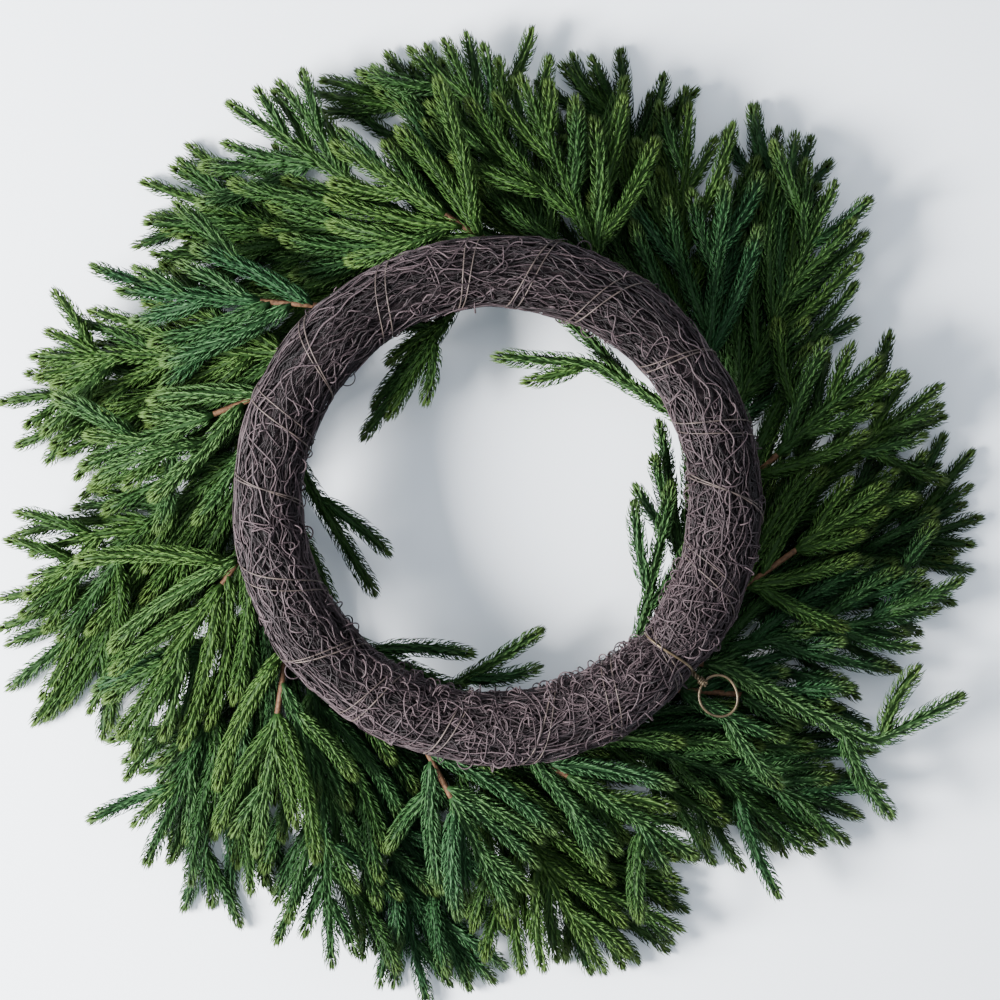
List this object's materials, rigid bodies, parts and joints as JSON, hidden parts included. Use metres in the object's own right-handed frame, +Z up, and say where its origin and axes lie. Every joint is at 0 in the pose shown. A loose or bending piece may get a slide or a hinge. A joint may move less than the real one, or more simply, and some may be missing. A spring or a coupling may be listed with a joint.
{
  "type": "evergreen wreath",
  "caption": "Evergreen wreath lying face down: needle-covered sprays sweep one way round a ring of bundled vines, with a binding wire round the ring and a loop to hang it by.",
  "frame": {"origin": "on the surface that the wreath lies on, under the middle of its outline", "axes": "+Z up, which is the wreath's back, because it lies face down; +Y towards the top of the picture; +X to its right"},
  "size_m": [0.6627, 0.652, 0.1006],
  "materials": {
    "vine": "rough",
    "binding_wire": "matte",
    "hanging_wire": "satin",
    "needles": "satin"
  },
  "bodies": {
    "root": {"vine_ring": "vine", "binding_wire": "binding_wire", "hanging_wire": "hanging_wire", "spray_stray": "needles", "spray_back_01": "needles", "spray_back_02": "needles", "spray_back_03": "needles", "spray_back_04": "needles", "spray_back_05": "needles", "spray_back_06": "needles", "spray_back_07": "needles", "spray_back_08": "needles", "spray_back_09": "needles", "spray_back_10": "needles", "spray_back_11": "needles", "spray_back_12": "needles", "spray_inner_01": "needles", "spray_inner_02": "needles", "spray_inner_03": "needles", "spray_inner_04": "needles", "spray_inner_05": "needles", "spray_inner_06": "needles", "spray_inner_07": "needles", "spray_inner_08": "needles", "spray_middle_01": "needles", "spray_middle_02": "needles", "spray_middle_03": "needles", "spray_middle_04": "needles", "spray_middle_05": "needles", "spray_middle_06": "needles", "spray_middle_07": "needles", "spray_middle_08": "needles", "spray_middle_09": "needles", "spray_middle_10": "needles", "spray_middle_11": "needles", "spray_middle_12": "needles", "spray_front_01": "needles", "spray_front_02": "needles", "spray_front_03": "needles", "spray_front_04": "needles", "spray_front_05": "needles", "spray_front_06": "needles", "spray_front_07": "needles", "spray_front_08": "needles", "spray_front_09": "needles", "spray_front_10": "needles", "spray_front_11": "needles"}
  },
  "joints": []
}
